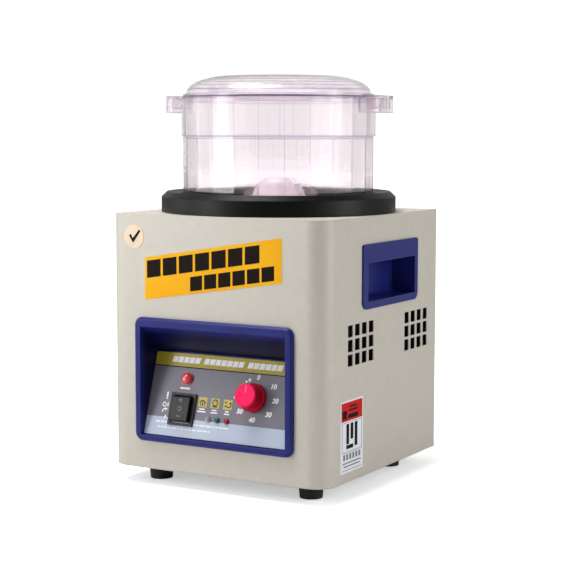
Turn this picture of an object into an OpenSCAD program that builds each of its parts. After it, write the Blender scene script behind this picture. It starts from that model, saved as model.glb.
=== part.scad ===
// Magnetic tumbler: sheet-metal cabinet, seat ring, clear bowl and lid,
// magnet rotor on a motor, sloped control panel in the front.
// Origin: floor level under the middle of the cabinet. +Z up, front is -Y.

/* [Cabinet] */
// Cabinet width, left to right
body_w = 240; // [230:1:250]
// Cabinet depth, front to back
body_d = 238; // [236:1:244]
// Cabinet height above its feet
body_h = 245; // [243:1:250]
// Radius of the two vertical front corners
corner_r = 20; // [12:1:24]
// Thickness of the folded sheet
sheet = 1.6; // [1.2:0.1:2]
// Height of the rubber feet
foot_h = 17; // [15:1:20]

/* [Bowl] */
// Outside radius of the bowl above its step
bowl_r = 95.6; // [94:0.2:96]
// Height of the bowl from its floor to its rim
bowl_h = 105.7; // [100:0.5:110]
// Flat sides around the lower part of the bowl
bowl_sides = 24; // [20, 24, 30]
// Turn of the bowl about its axis
bowl_turn = 11; // [0:1:30]
// Reach of the carrying lugs from the bowl axis
lug_reach = 110.6; // [106:0.2:116]

/* [Seat ring] */
// Outside radius of the ring
ring_r = 116; // [112:0.5:116]
// Height of the ring above the cabinet
ring_h = 20; // [18:1:22]

/* [Control panel] */
// Lean of the panel back from vertical
panel_tilt = 17.8; // [15:0.2:20]
// Width of the blue frame
frame_w = 174.6; // [170:0.2:180]
// Left edge to right edge of the opening
open_w = 160; // [150:0.2:160]

/* [Drive] */
// Radius of the magnet disc
disc_r = 84; // [78:1:86]
// Magnets on the outer circle
magnet_count = 8; // [6, 8, 10]
// Radius of the motor can
motor_r = 45; // [40:1:46]

/* [Display] */
// Part to draw

/* [Hidden] */
$fn = 64;

hx = body_w / 2;
hy = body_d / 2;
zb = foot_h;
zt = foot_h + body_h;
ax_y = 3;
gap = 0.3;
ring_top = zt + ring_h;
bowl_z = zt + 6.1;
rim_z = bowl_z + bowl_h;
step_z = bowl_z + 68;
lower_r = bowl_r - 1.3;
foot_x = 84.6;
foot_y = 81.5;
panel_y = -hy + 0.4;
panel_z = zb + 34.4;
frame_z0 = zb + 27.4;
frame_z1 = zb + 147;
open_z0 = zb + 33.2;
open_z1 = zb + 138;
front_y = -hy - 4.3;
back_y = -hy + 25.9;
bend_z = panel_z + 77.6;
disc_z = zt - 12;
hub_z = disc_z - 13;
plate_z = hub_z - 4;
can_z = 118;
can_h = 92;
shaft_r = 5;
post_at = 76;
ring_pts = [0, 60, 120, 180, 240, 300];
screw_z = [zb + 20, zb + 122, zb + 226];
cup_y0 = -49.2;
cup_y1 = 69.6;
cup_z0 = zb + 158;
cup_z1 = zb + 219.2;
cup_in = hx - 24;
vent_z = zb + 146.3;
inlet_x = -62;
inlet_z = zb + 40;
fuse_x = -14;
fuse_z = zb + 40;

function ngon(n, r, a) = [for (i = [0:n - 1]) r * [cos(a + 360 * i / n), sin(a + 360 * i / n)]];

// Rounded block: front corners rf, back corners rb, centred in x and y.
module block(w, d, h, rf, rb) {
  translate([-w / 2 + rf, -d / 2, 0]) cube([w - 2 * rf, d / 2, h]);
  translate([-w / 2, -d / 2 + rf, 0]) cube([w, d - rf - rb, h]);
  translate([-w / 2 + rb, 0, 0]) cube([w - 2 * rb, d / 2, h]);
  for (s = [-1, 1]) {
    translate([s * (w / 2 - rf), -d / 2 + rf, 0]) cylinder(h = h, r = rf);
    translate([s * (w / 2 - rb), d / 2 - rb, 0]) cylinder(h = h, r = rb);
  }
}

// Rounded plate in the XZ plane, from y to y + t.
module plate_xz(x0, x1, z0, z1, y, t, r) {
  translate([x0 + r, y, z0]) cube([x1 - x0 - 2 * r, t, z1 - z0]);
  translate([x0, y, z0 + r]) cube([x1 - x0, t, z1 - z0 - 2 * r]);
  for (x = [x0 + r, x1 - r])
    for (z = [z0 + r, z1 - r])
      translate([x, y, z]) rotate([-90, 0, 0]) cylinder(h = t, r = r);
}

// The same with the front outer edge bevelled by c.
module bevel_xz(x0, x1, z0, z1, y, t, r, c) {
  plate_xz(x0, x1, z0, z1, y + c, t - c, r);
  translate([x0 + r, 0, 0]) rotate([90, 0, 90]) linear_extrude(x1 - x0 - 2 * r)
    polygon([[y + c, z0], [y + c, z1], [y, z1 - c], [y, z0 + c]]);
  translate([0, 0, z0 + r]) linear_extrude(z1 - z0 - 2 * r)
    polygon([[x0, y + c], [x0 + c, y], [x1 - c, y], [x1, y + c]]);
  for (x = [x0 + r, x1 - r])
    for (z = [z0 + r, z1 - r])
      translate([x, y, z]) rotate([-90, 0, 0]) cylinder(h = c, r1 = r - c, r2 = r);
}

// Rounded plate in the YZ plane, from x to x + t, radii rt on top and rl below.
module plate_yz(y0, y1, z0, z1, x, t, rt, rl) {
  translate([x, y0 + rl, z0]) cube([t, y1 - y0 - 2 * rl, (z1 - z0) / 2]);
  translate([x, y0 + rt, z0 + rl]) cube([t, y1 - y0 - 2 * rt, z1 - z0 - rl]);
  translate([x, y0, z0 + rl]) cube([t, y1 - y0, z1 - z0 - rl - rt]);
  for (y = [y0 + rl, y1 - rl])
    translate([x, y, z0 + rl]) rotate([0, 90, 0]) cylinder(h = t, r = rl);
  for (y = [y0 + rt, y1 - rt])
    translate([x, y, z1 - rt]) rotate([0, 90, 0]) cylinder(h = t, r = rt);
}

// Frame of the sloped panel: x right, y up the slope, z out of it.
module on_panel() {
  translate([0, panel_y, panel_z]) rotate([90 - panel_tilt, 0, 0]) children();
}

module on_axis() {
  translate([0, ax_y, 0]) children();
}

module pan_head(r, h, shank_r, shank_l) {
  difference() {
    union() {
      cylinder(h = h * 0.5, r = r);
      translate([0, 0, h * 0.5]) cylinder(h = h * 0.5, r1 = r, r2 = r * 0.72);
      translate([0, 0, -shank_l]) cylinder(h = shank_l + 0.1, r = shank_r);
    }
    translate([-r * 0.6, -r * 0.12, h * 0.5]) cube([r * 1.2, r * 0.24, h]);
    translate([-r * 0.12, -r * 0.6, h * 0.5]) cube([r * 0.24, r * 1.2, h]);
  }
}

module slots(x) {
  for (g = [-76.4, 43.6])
    for (i = [0:3])
      for (k = [0:2])
        translate([x, g + 14.1 * i, vent_z - 11 - 13.6 * k]) cube([8, 9.8, 11]);
}

module body_shell() {
  color("#d8d2c6") difference() {
    union() {
      difference() {
        translate([0, 0, zb]) block(body_w, body_d, body_h, corner_r, 3);
        translate([0, 0, zb - 1])
          block(body_w - 2 * sheet, body_d - 2 * sheet, body_h - sheet + 1, corner_r - sheet, 1.4);
        translate([-hx + sheet, hy - 10, zb - 1]) cube([body_w - 2 * sheet, 20, body_h - sheet + 1]);
      }
      // Inward lips: the back panel and the base plate screw to these.
      for (s = [-1, 1]) {
        translate([s * (hx - sheet / 2 - 6) - 6, hy - 2 * sheet - 0.1, zb + 4]) cube([12, sheet, body_h - 5]);
        translate([s * (hx - sheet / 2 - 6) - 6, -80, zb + 1.8]) cube([12, 190, sheet]);
      }
      translate([-hx + 12, hy - 2 * sheet - 0.1, zt - 12.5]) cube([body_w - 24, sheet, 12]);
      translate([-80, -hy + 0.8, zb + 1.8]) cube([160, 12, sheet]);
    }
    on_axis() translate([0, 0, zt - 6]) cylinder(h = 10, r = 100);
    translate([-82.5, -hy - 5, open_z0 - 3]) cube([165, 12, open_z1 - open_z0 + 6]);
    for (s = [-1, 1])
      translate([s * hx - 5, cup_y0 + 5, cup_z0 + 4.5]) cube([10, cup_y1 - cup_y0 - 9, cup_z1 - cup_z0 - 9]);
    slots(hx - 4);
    slots(-hx - 4);
    for (a = ring_pts)
      on_axis() rotate(a) translate([108, 0, zt - 6]) cylinder(h = 10, r = 1.9, $fn = 24);
    for (sx = [-1, 1])
      for (sy = [-1, 1])
        on_axis() translate([sx * post_at, sy * post_at, zt - 6]) cylinder(h = 10, r = 2.2, $fn = 24);
    for (s = [-1, 1]) {
      for (z = screw_z)
        translate([s * (hx - 8), hy - 10, z]) rotate([-90, 0, 0]) cylinder(h = 20, r = 1.6, $fn = 24);
      for (y = [-60, 20, 96])
        translate([s * (hx - 8), y, zb]) cylinder(h = 8, r = 1.6, $fn = 24);
    }
  }
}

module back_panel() {
  color("#d2ccc0") difference() {
    translate([-hx + sheet + gap, hy - sheet, zb + 0.2])
      cube([body_w - 2 * sheet - 2 * gap, sheet, body_h - sheet - 0.5]);
    for (s = [-1, 1])
      for (z = screw_z)
        translate([s * (hx - 8), hy - 10, z]) rotate([-90, 0, 0]) cylinder(h = 20, r = 1.9, $fn = 24);
    for (x = [-92, -42])
      for (k = [0:6])
        translate([x, hy - 10, zb + 120 + 11 * k]) cube([38, 20, 4.5]);
    translate([inlet_x - 14.3, hy - 10, inlet_z - 10.3]) cube([28.6, 20, 20.6]);
    for (s = [-1, 1])
      translate([inlet_x + s * 20, hy - 10, inlet_z]) rotate([-90, 0, 0]) cylinder(h = 20, r = 1.6, $fn = 24);
    translate([fuse_x, hy - 10, fuse_z]) rotate([-90, 0, 0]) cylinder(h = 20, r = 6.6);
  }
}

module base_plate() {
  color("#b9bcc0") difference() {
    translate([0, -0.9, zb + 0.1])
      block(body_w - 2 * sheet - 2 * gap, body_d - 2 * sheet - 2, sheet, corner_r - sheet, 1);
    for (sx = [-1, 1]) {
      for (sy = [-1, 1])
        translate([sx * foot_x, sy * foot_y, 0]) cylinder(h = 60, r = 2.2, $fn = 24);
      for (y = [-60, 20, 96])
        translate([sx * (hx - 8), y, 0]) cylinder(h = 60, r = 1.9, $fn = 24);
    }
    for (i = [-4:4])
      translate([i * 12 - 2.5, -28, 0]) cube([5, 56, 60]);
    for (x = [-44, 44])
      for (y = [58, 96])
        translate([x, y, 0]) cylinder(h = 60, r = 1.6, $fn = 24);
    for (y = [-12, 12])
      translate([85, y, 0]) cylinder(h = 60, r = 1.6, $fn = 24);
  }
}

module feet() {
  color("#1b1b1c")
    for (sx = [-1, 1])
      for (sy = [-1, 1])
        translate([sx * foot_x, sy * foot_y, 0]) difference() {
          cylinder(h = foot_h, r1 = 10.9, r2 = 12.3);
          translate([0, 0, -1]) cylinder(h = foot_h + 2, r = 2.3, $fn = 32);
          translate([0, 0, -1]) cylinder(h = 9, r = 5.4, $fn = 32);
        }
}

module foot_screws() {
  color("#c9ccd0")
    for (sx = [-1, 1])
      for (sy = [-1, 1])
        translate([sx * foot_x, sy * foot_y, 8]) {
          rotate([180, 0, 0]) pan_head(4.4, 2.8, 2, 18);
          translate([0, 0, foot_h - 8 + 1.8]) cylinder(h = 3.2, r = 4, $fn = 6);
        }
}

module base_screws() {
  color("#c9ccd0")
    for (sx = [-1, 1])
      for (y = [-60, 20, 96])
        translate([sx * (hx - 8), y, zb + 0.1]) rotate([180, 0, 0]) pan_head(3.4, 2.2, 1.5, 8);
}

module back_screws() {
  color("#c9ccd0")
    for (s = [-1, 1])
      for (z = screw_z)
        translate([s * (hx - 8), hy, z]) rotate([-90, 0, 0]) pan_head(3.4, 2.2, 1.5, 8);
}

module seat_ring() {
  color("#161617") difference() {
    on_axis() union() {
      rotate_extrude($fn = 96) polygon([
        [0, zt + 1.5], [0, zt + 4.5], [97.2, zt + 4.5], [97.2, ring_top - 4],
        [98.6, ring_top - 2.2], [107.5, ring_top - 0.7], [109.6, ring_top],
        [110.6, ring_top], [ring_r, ring_top - 5], [ring_r, zt],
        [113.4, zt], [113.4, zt + 11], [102.6, zt + 11], [102.6, zt],
        [99.6, zt], [99.6, zt - 3.5], [96.8, zt - 3.5], [96.8, zt + 1.5]]);
      for (a = ring_pts)
        rotate(a) translate([108, 0, zt]) cylinder(h = 12, r = 5.2, $fn = 32);
    }
    on_axis() for (a = ring_pts)
      rotate(a) translate([108, 0, zt - 1]) cylinder(h = 10, r = 1.5, $fn = 24);
  }
}

module seat_screws() {
  color("#c9ccd0")
    on_axis() for (a = ring_pts)
      rotate(a) translate([108, 0, zt - sheet]) rotate([180, 0, 0]) pan_head(3.2, 2, 1.4, 9);
}

module seat_pad() {
  color("#2a2a2c") on_axis() translate([0, 0, zt + 4.5]) difference() {
    cylinder(h = 1.5, r = 90, $fn = 96);
    translate([0, 0, -1]) cylinder(h = 4, r = 62, $fn = 96);
  }
}

// Carrying lug: a plate with a turned-down lip, open below, with ribs.
module lug(a) {
  z = rim_z - 14.9;
  h = 16.3;
  difference() {
    rotate(a) translate([0, 0, z]) difference() {
      union() {
        translate([84, -30, 0]) cube([lug_reach - 93, 60, h]);
        translate([84, -21, 0]) cube([lug_reach - 84, 42, h]);
        for (s = [-1, 1])
          translate([lug_reach - 9, s * 21, 0]) cylinder(h = h, r = 9, $fn = 48);
      }
      translate([80, -27.6, -1]) cube([lug_reach - 89, 55.2, h - 1.4]);
      translate([80, -21, -1]) cube([lug_reach - 82.4, 42, h - 1.4]);
      for (s = [-1, 1])
        translate([lug_reach - 9, s * 21, -1]) cylinder(h = h - 1.4, r = 6.6, $fn = 48);
      translate([0, 0, -1]) cylinder(h = 16, r = bowl_r - 1.2, $fn = 96);
    }
    translate([0, 0, rim_z - 0.1]) cylinder(h = 9, r = 94.6, $fn = 96);
    for (t = [-7, 173])
      rotate(bowl_turn + t) translate([80, -6.5, rim_z - 0.1]) cube([18.8, 13, 9]);
  }
  for (s = [-1, 0, 1])
    rotate(a) translate([bowl_r - 1.2, s * 12 - 1, rim_z - 11]) cube([lug_reach - bowl_r - 0.6, 2, 10.4]);
}

module bowl() {
  a0 = bowl_turn + 180 / bowl_sides;
  color([0.93, 0.88, 0.93, 0.45]) on_axis() difference() {
    union() {
      translate([0, 0, step_z]) cylinder(h = rim_z - step_z, r = bowl_r, $fn = 96);
      translate([0, 0, bowl_z]) linear_extrude(step_z - bowl_z + 0.5) polygon(ngon(bowl_sides, lower_r, a0));
      lug(bowl_turn);
      lug(bowl_turn + 180);
    }
    translate([0, 0, bowl_z + 3]) linear_extrude(step_z - bowl_z) polygon(ngon(bowl_sides, lower_r - 2.7, a0));
    translate([0, 0, step_z - 2]) linear_extrude(rim_z) polygon(ngon(bowl_sides, bowl_r - 2.5, a0));
    translate([0, 0, bowl_z - 0.1]) cylinder(h = 9.6, r1 = 27.3, r2 = 22.6, $fn = 12);
    translate([0, 0, bowl_z + 9.4]) cylinder(h = 9.2, r1 = 22.7, r2 = 18.6, $fn = 12);
  }
  color([0.93, 0.88, 0.93, 0.45]) on_axis() difference() {
    union() {
      translate([0, 0, bowl_z + 2.9]) cylinder(h = 18.8, r1 = 29, r2 = 21.2, $fn = 12);
      translate([0, 0, bowl_z + 21.6]) cylinder(h = 5.3, r1 = 21.2, r2 = 16, $fn = 12);
    }
    translate([0, 0, bowl_z - 0.1]) cylinder(h = 9.6, r1 = 27.3, r2 = 22.6, $fn = 12);
    translate([0, 0, bowl_z + 9.4]) cylinder(h = 9.2, r1 = 22.7, r2 = 18.6, $fn = 12);
  }
}

module lid() {
  z = rim_z + 0.1;
  color([0.94, 0.9, 0.94, 0.4]) on_axis() {
    rotate_extrude($fn = 96) polygon([
      [0, z + 18.6], [0, z + 20.8], [56, z + 20.8], [62, z + 20.2], [70, z + 18.6],
      [77, z + 16.5], [83, z + 14], [87, z + 11.2], [90, z + 7.6], [91.2, z + 3],
      [94.2, z + 3], [94.2, z], [91.6, z], [91.6, z - 5], [89.2, z - 5],
      [88.4, z + 3], [87.4, z + 6.6], [84.6, z + 9.8], [81, z + 12.2],
      [75.6, z + 14.4], [69, z + 16.3], [61.4, z + 17.8], [55.6, z + 18.6]]);
    for (a = [-7, 173])
      rotate(bowl_turn + a) translate([90.8, -6, z]) cube([7.4, 12, 3]);
  }
}

module panel_frame() {
  t = 2;
  s = sin(panel_tilt);
  c = cos(panel_tilt);
  color("#20287e") difference() {
    union() {
      difference() {
        bevel_xz(-frame_w / 2, frame_w / 2, frame_z0, frame_z1, front_y, -hy - front_y, 8, 2.1);
        translate([-open_w / 2, front_y - 1, open_z0]) cube([open_w, 8, open_z1 - open_z0]);
      }
      translate([-open_w / 2 - t, 0, 0]) rotate([90, 0, 90]) linear_extrude(open_w + 2 * t) polygon([
        [front_y + 1, open_z0 - 2.6], [-hy + 2, open_z0 - 2.6], [back_y + 3.4, bend_z - 2],
        [back_y + 3.4, bend_z + 1.6], [-hy + 2, open_z1 + 2.2], [front_y + 1, open_z1 + 2.2]]);
    }
    translate([-open_w / 2, 0, 0]) rotate([90, 0, 90]) linear_extrude(open_w) polygon([
      [front_y - 1, open_z0], [panel_y + 1.05 * c + 0.2, open_z0],
      [panel_y + 1.05 * c, panel_z - 1.05 * s],
      [panel_y + 1.05 * c + 81.5 * s, panel_z - 1.05 * s + 81.5 * c],
      [back_y, bend_z + 0.6], [front_y + 1, open_z1], [front_y - 1, open_z1]]);
    on_panel() {
      translate([-53, 11.5, -8]) cube([26.2, 29, 20]);
      translate([36.3, 43.7, -8]) cylinder(h = 20, r = 5.2, $fn = 32);
      translate([-40.2, 56, -8]) cylinder(h = 20, r = 5.3, $fn = 32);
      for (x = [-9.8, 0.4, 10.6])
        translate([x, 19.1, -8]) cylinder(h = 20, r = 2.9, $fn = 32);
    }
  }
}

module panel_plate() {
  color("#7d7c84") on_panel() difference() {
    translate([-open_w / 2 + 0.2, -0.6, -1]) cube([open_w - 0.4, 80.8, 1]);
    translate([-53, 11.5, -8]) cube([26.2, 29, 20]);
    translate([36.3, 43.7, -8]) cylinder(h = 20, r = 5.2, $fn = 32);
    translate([-40.2, 56, -8]) cylinder(h = 20, r = 5.3, $fn = 32);
    for (x = [-9.8, 0.4, 10.6])
      translate([x, 19.1, -8]) cylinder(h = 20, r = 2.9, $fn = 32);
  }
}

module frame_clips() {
  color("#aeb2b8")
    for (s = [-1, 1])
      for (z = [zb + 62, zb + 112])
        translate([s * 84.4 - (s > 0 ? 0 : 9.6), -hy + sheet + 0.1, z - 7]) difference() {
          cube([9.6, 10, 14]);
          translate([s > 0 ? 1.2 : -1, 1.2, -1]) cube([9.4, 10, 16]);
        }
}

module lamp_lens() {
  color("#e0303a") on_panel() translate([-40.2, 56, 0]) {
    translate([0, 0, -9]) cylinder(h = 10.4, r = 4.9, $fn = 48);
    translate([0, 0, 1.3]) rotate_extrude($fn = 48)
      polygon([[0, 0], [5.6, 0], [5.5, 1.2], [4.9, 2.5], [3.8, 3.5], [2.2, 4.2], [0, 4.5]]);
  }
}

module lamp_collar() {
  color("#b3262c") on_panel() translate([-40.2, 56, 0]) difference() {
    cylinder(h = 1.2, r = 6.6, $fn = 48);
    translate([0, 0, -1]) cylinder(h = 4, r = 5.2, $fn = 48);
  }
}

module rocker_frame() {
  color("#19191b") on_panel() translate([-39.9, 26, 0]) difference() {
    union() {
      translate([-14, -15.6, 0]) cube([28, 31.2, 2]);
      translate([-12.9, -14.3, -7.8]) cube([25.8, 28.6, 8]);
    }
    translate([-10.6, -13.2, -20]) cube([21.2, 26.4, 40]);
    translate([-11.7, 0, -2.5]) rotate([0, 90, 0]) cylinder(h = 23.4, r = 1.66, $fn = 32);
  }
}

module rocker() {
  color("#232326") on_panel() translate([-39.9, 26, 0]) {
    translate([-9.9, 0, 0]) rotate([90, 0, 90]) linear_extrude(19.8) polygon([
      [-12, 1.6], [-12.1, 4.6], [-11.2, 6], [-6, 6.3], [0, 6.1], [6, 6.3], [11.2, 6],
      [12.1, 4.6], [12, 1.6], [8, -2.5], [5, -4.6], [-5, -4.6], [-8, -2.5]]);
    translate([-11.5, 0, -2.5]) rotate([0, 90, 0]) cylinder(h = 23, r = 1.6, $fn = 32);
  }
}

module rocker_body() {
  color("#101012") on_panel() translate([-39.9, 26, 0]) {
    translate([-12.4, -13.6, -22]) cube([24.8, 27.2, 14]);
    for (x = [-7, 7])
      for (y = [-9, 0, 9])
        translate([x - 0.4, y - 2.4, -29]) cube([0.8, 4.8, 7.1]);
  }
}

module knob() {
  color("#e0244e") on_panel() translate([36.3, 43.7, 0]) difference() {
    union() {
      translate([0, 0, 0.8]) cylinder(h = 3.2, r = 13.6, $fn = 96);
      translate([0, 0, 4]) cylinder(h = 1, r1 = 13.6, r2 = 12.2, $fn = 96);
      translate([0, 0, 5]) cylinder(h = 11.7, r1 = 11.7, r2 = 11.1, $fn = 96);
      translate([0, 0, 16.7]) cylinder(h = 0.8, r1 = 11.1, r2 = 10.3, $fn = 96);
    }
    translate([0, 0, -1]) cylinder(h = 13, r = 3.05, $fn = 32);
    translate([0, 0, -1]) cylinder(h = 3.4, r = 10, $fn = 64);
    translate([-0.65, 2.6, 16.9]) cube([1.3, 7.3, 2]);
  }
}

module knob_mark() {
  color("#f4e9ec") on_panel() translate([36.3, 43.7, 0])
    translate([-0.6, 2.65, 16.9]) cube([1.2, 7.2, 0.55]);
}

module timer_shaft() {
  color("#c2c6cb") on_panel() translate([36.3, 43.7, -16]) cylinder(h = 27.5, r = 3, $fn = 32);
}

module timer_body() {
  color("#8d9299") on_panel() translate([36.3, 43.7, 0]) difference() {
    union() {
      translate([-16, -16, -34]) cube([32, 32, 27]);
      translate([0, 0, -7.1]) cylinder(h = 8, r = 4.9, $fn = 32);
      for (x = [-10, 10])
        translate([x - 0.4, -3, -41]) cube([0.8, 6, 7.1]);
    }
    translate([0, 0, -18]) cylinder(h = 30, r = 3.06, $fn = 32);
  }
}

module timer_nut() {
  color("#c9ccd0") on_panel() translate([36.3, 43.7, 0]) difference() {
    translate([0, 0, 0.02]) cylinder(h = 0.7, r = 8, $fn = 6);
    translate([0, 0, -1]) cylinder(h = 4, r = 4.95, $fn = 32);
  }
}

module led(x) {
  on_panel() translate([x, 19.1, 0]) {
    translate([0, 0, -6]) cylinder(h = 7, r = 2.6, $fn = 32);
    translate([0, 0, 0.9]) rotate_extrude($fn = 32)
      polygon([[0, 0], [2.6, 0], [2.5, 0.7], [2.1, 1.5], [1.2, 2.2], [0, 2.5]]);
  }
}

module led_clear() {
  color("#e8e8ea") led(-9.8);
}

module led_green() {
  color("#127a4a") led(0.4);
}

module led_red() {
  color("#b01020") led(10.6);
}

module icon_tiles() {
  color("#c9b84a") on_panel()
    for (x = [-18.6, -4.6, 9.4])
      translate([x - 4.8, 30.4, 0.02]) cube([9.6, 9.4, 0.3]);
}

module handle_cup() {
  t = 2;
  color("#20287e") difference() {
    union() {
      plate_yz(cup_y0, cup_y1, cup_z0, cup_z1, hx, 1.8, 3, 8);
      translate([cup_in - t, -39 - t, cup_z0 + 5]) cube([hx - cup_in + t + 0.5, 102 + 2 * t, 51]);
    }
    translate([cup_in + 6, -39, cup_z0 + 7]) cube([60, 102, 36.5]);
    translate([cup_in, -39, cup_z0 + 13]) cube([20, 102, 30.5]);
    translate([cup_in, -39, cup_z0 + 13]) cube([21, 102, 41]);
    translate([cup_in + 6, -39, cup_z0 + 13]) rotate([-90, 0, 0]) cylinder(h = 102, r = 6, $fn = 32);
  }
}

module handle_right() {
  handle_cup();
}

module handle_left() {
  mirror([1, 0, 0]) handle_cup();
}

module motor_can() {
  color("#6d7278") on_axis() translate([0, 0, can_z]) difference() {
    cylinder(h = can_h, r = motor_r);
    translate([0, 0, -1]) cylinder(h = can_h + 2, r = motor_r - 2.2);
  }
}

module motor_caps() {
  color("#a7abb0") on_axis() {
    translate([0, 0, can_z + can_h + 0.05]) difference() {
      cylinder(h = plate_z - can_z - can_h - 0.1, r = motor_r);
      translate([0, 0, -1]) cylinder(h = 40, r = 8, $fn = 48);
      translate([0, 0, -1]) cylinder(h = 9, r = 13.3, $fn = 48);
      for (a = [45:90:315])
        rotate(a) translate([34, 0, 2]) cylinder(h = 40, r = 2.1, $fn = 24);
    }
    translate([0, 0, can_z - 15]) difference() {
      cylinder(h = 14.95, r = motor_r);
      translate([0, 0, -1]) cylinder(h = 40, r = 8, $fn = 48);
      translate([0, 0, 7]) cylinder(h = 9, r = 13.3, $fn = 48);
    }
  }
}

module motor_bolts() {
  color("#c9ccd0") on_axis()
    for (a = [45:90:315])
      rotate(a) translate([34, 0, plate_z + 3]) pan_head(3.6, 2.6, 2, 16);
}

module stator() {
  color("#54585e") on_axis() translate([0, 0, can_z + 22]) difference() {
    cylinder(h = 48, r = motor_r - 2.5);
    translate([0, 0, -1]) cylinder(h = 60, r = 25.4);
    for (a = [0:30:330])
      rotate(a) translate([24, -2.5, -1]) cube([12, 5, 60]);
  }
}

module windings() {
  color("#b56a2c") on_axis()
    for (z = [can_z + 9, can_z + 70.2])
      translate([0, 0, z]) rotate_extrude()
        polygon([[27, 1], [29, 0], [37, 0], [39, 1], [39, 11.8], [37, 12.6], [29, 12.6], [27, 11.8]]);
}

module bearings() {
  color("#c4c8ce") on_axis()
    for (z = [can_z + can_h + 0.2, can_z - 7.8])
      translate([0, 0, z]) difference() {
        cylinder(h = 7.6, r = 13);
        translate([0, 0, -1]) cylinder(h = 20, r = shaft_r + 0.05);
      }
}

module motor_plate() {
  color("#b9bcc0") on_axis() translate([0, 0, plate_z]) difference() {
    translate([-82, -82, 0]) cube([164, 164, 3]);
    translate([0, 0, -1]) cylinder(h = 10, r = 18);
    for (a = [45:90:315])
      rotate(a) translate([34, 0, -1]) cylinder(h = 10, r = 2.1, $fn = 24);
    for (sx = [-1, 1])
      for (sy = [-1, 1])
        translate([sx * post_at, sy * post_at, -1]) cylinder(h = 10, r = 2.2, $fn = 24);
    for (a = [0:90:270])
      rotate(a) translate([58, 0, -1]) cylinder(h = 10, r = 14);
  }
}

module plate_posts() {
  color("#c2c6cb") on_axis()
    for (sx = [-1, 1])
      for (sy = [-1, 1])
        translate([sx * post_at, sy * post_at, plate_z + 3]) difference() {
          cylinder(h = zt - sheet - plate_z - 3, r = 5, $fn = 32);
          translate([0, 0, -1]) cylinder(h = 60, r = 2.1, $fn = 24);
        }
}

module post_screws() {
  color("#c9ccd0") on_axis()
    for (sx = [-1, 1])
      for (sy = [-1, 1])
        translate([sx * post_at, sy * post_at, 0]) {
          translate([0, 0, zt]) pan_head(3.6, 2.4, 2, 10);
          translate([0, 0, plate_z]) rotate([180, 0, 0]) pan_head(3.6, 2.4, 2, 10);
        }
}

module motor_shaft() {
  color("#c2c6cb") on_axis() translate([0, 0, can_z - 34]) cylinder(h = disc_z + 7 - can_z + 34, r = shaft_r);
}

module rotor_core() {
  color("#7d8288") on_axis() translate([0, 0, can_z + 22]) difference() {
    cylinder(h = 48, r = 24.8);
    translate([0, 0, -1]) cylinder(h = 60, r = shaft_r + 0.02);
  }
}

module cooling_fan() {
  color("#2b2c30") on_axis() translate([0, 0, can_z - 31]) difference() {
    union() {
      cylinder(h = 12, r = 10);
      for (a = [0:45:315])
        rotate(a) translate([8, 0, 6]) rotate([38, 0, 0]) translate([0, -7, -0.8]) cube([32, 14, 1.6]);
    }
    translate([0, 0, -1]) cylinder(h = 20, r = shaft_r + 0.02);
  }
}

module magnet_hub() {
  color("#a7abb0") on_axis() translate([0, 0, hub_z]) difference() {
    union() {
      cylinder(h = 12.95, r = 14);
      translate([0, 0, 8.95]) cylinder(h = 4, r = 24);
    }
    translate([0, 0, -1]) cylinder(h = 30, r = shaft_r + 0.02);
    rotate([90, 0, 0]) translate([0, 5, 0]) cylinder(h = 20, r = 2.05, $fn = 24);
    for (a = [0:90:270])
      rotate(a + 45) translate([19, 0, -1]) cylinder(h = 30, r = 1.7, $fn = 24);
  }
}

module hub_screws() {
  color("#3a3b3e") on_axis() {
    translate([0, -5.1, hub_z + 5]) rotate([90, 0, 0]) cylinder(h = 8, r = 2, $fn = 24);
    for (a = [0:90:270])
      rotate(a + 45) translate([19, 0, hub_z + 8.95]) rotate([180, 0, 0]) pan_head(2.8, 1.8, 1.5, 9);
  }
}

module magnet_disc() {
  color("#c2c6cb") on_axis() translate([0, 0, disc_z]) difference() {
    cylinder(h = 9, r = disc_r, $fn = 96);
    translate([0, 0, -1]) cylinder(h = 20, r = shaft_r + 0.02);
    for (i = [0:magnet_count - 1])
      rotate(i * 360 / magnet_count) translate([68, 0, 3]) cylinder(h = 20, r = 10.1, $fn = 48);
    for (i = [0:3])
      rotate(i * 90 + 45) translate([38, 0, 3]) cylinder(h = 20, r = 10.1, $fn = 48);
    for (a = [0:90:270])
      rotate(a + 45) translate([19, 0, -1]) cylinder(h = 6, r = 1.6, $fn = 24);
  }
}

module magnets() {
  color("#8f949b") on_axis() translate([0, 0, disc_z + 3.05]) {
    for (i = [0:magnet_count - 1])
      rotate(i * 360 / magnet_count) translate([68, 0, 0]) cylinder(h = 6.4, r = 10, $fn = 48);
    for (i = [0:3])
      rotate(i * 90 + 45) translate([38, 0, 0]) cylinder(h = 6.4, r = 10, $fn = 48);
  }
}

module control_board() {
  color("#1f6b3c") difference() {
    translate([-50, 52, zb + 13.8]) cube([100, 50, 1.6]);
    for (x = [-44, 44])
      for (y = [58, 96])
        translate([x, y, zb]) cylinder(h = 40, r = 1.6, $fn = 24);
  }
}

module board_parts() {
  z = zb + 15.45;
  color("#2c2f36") {
    translate([-34, 84, z]) cube([19, 15.5, 15]);
    translate([-10, 84, z]) cube([19, 15.5, 15]);
    translate([14, 84, z]) cube([24, 12, 11]);
    translate([-36, 56, z]) cube([30, 22, 24]);
    translate([4, 64, z]) cylinder(h = 20, r = 6.5, $fn = 32);
    translate([20, 64, z]) cylinder(h = 14, r = 5, $fn = 32);
    translate([30, 57, z]) cube([7, 16, 3]);
  }
}

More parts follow.
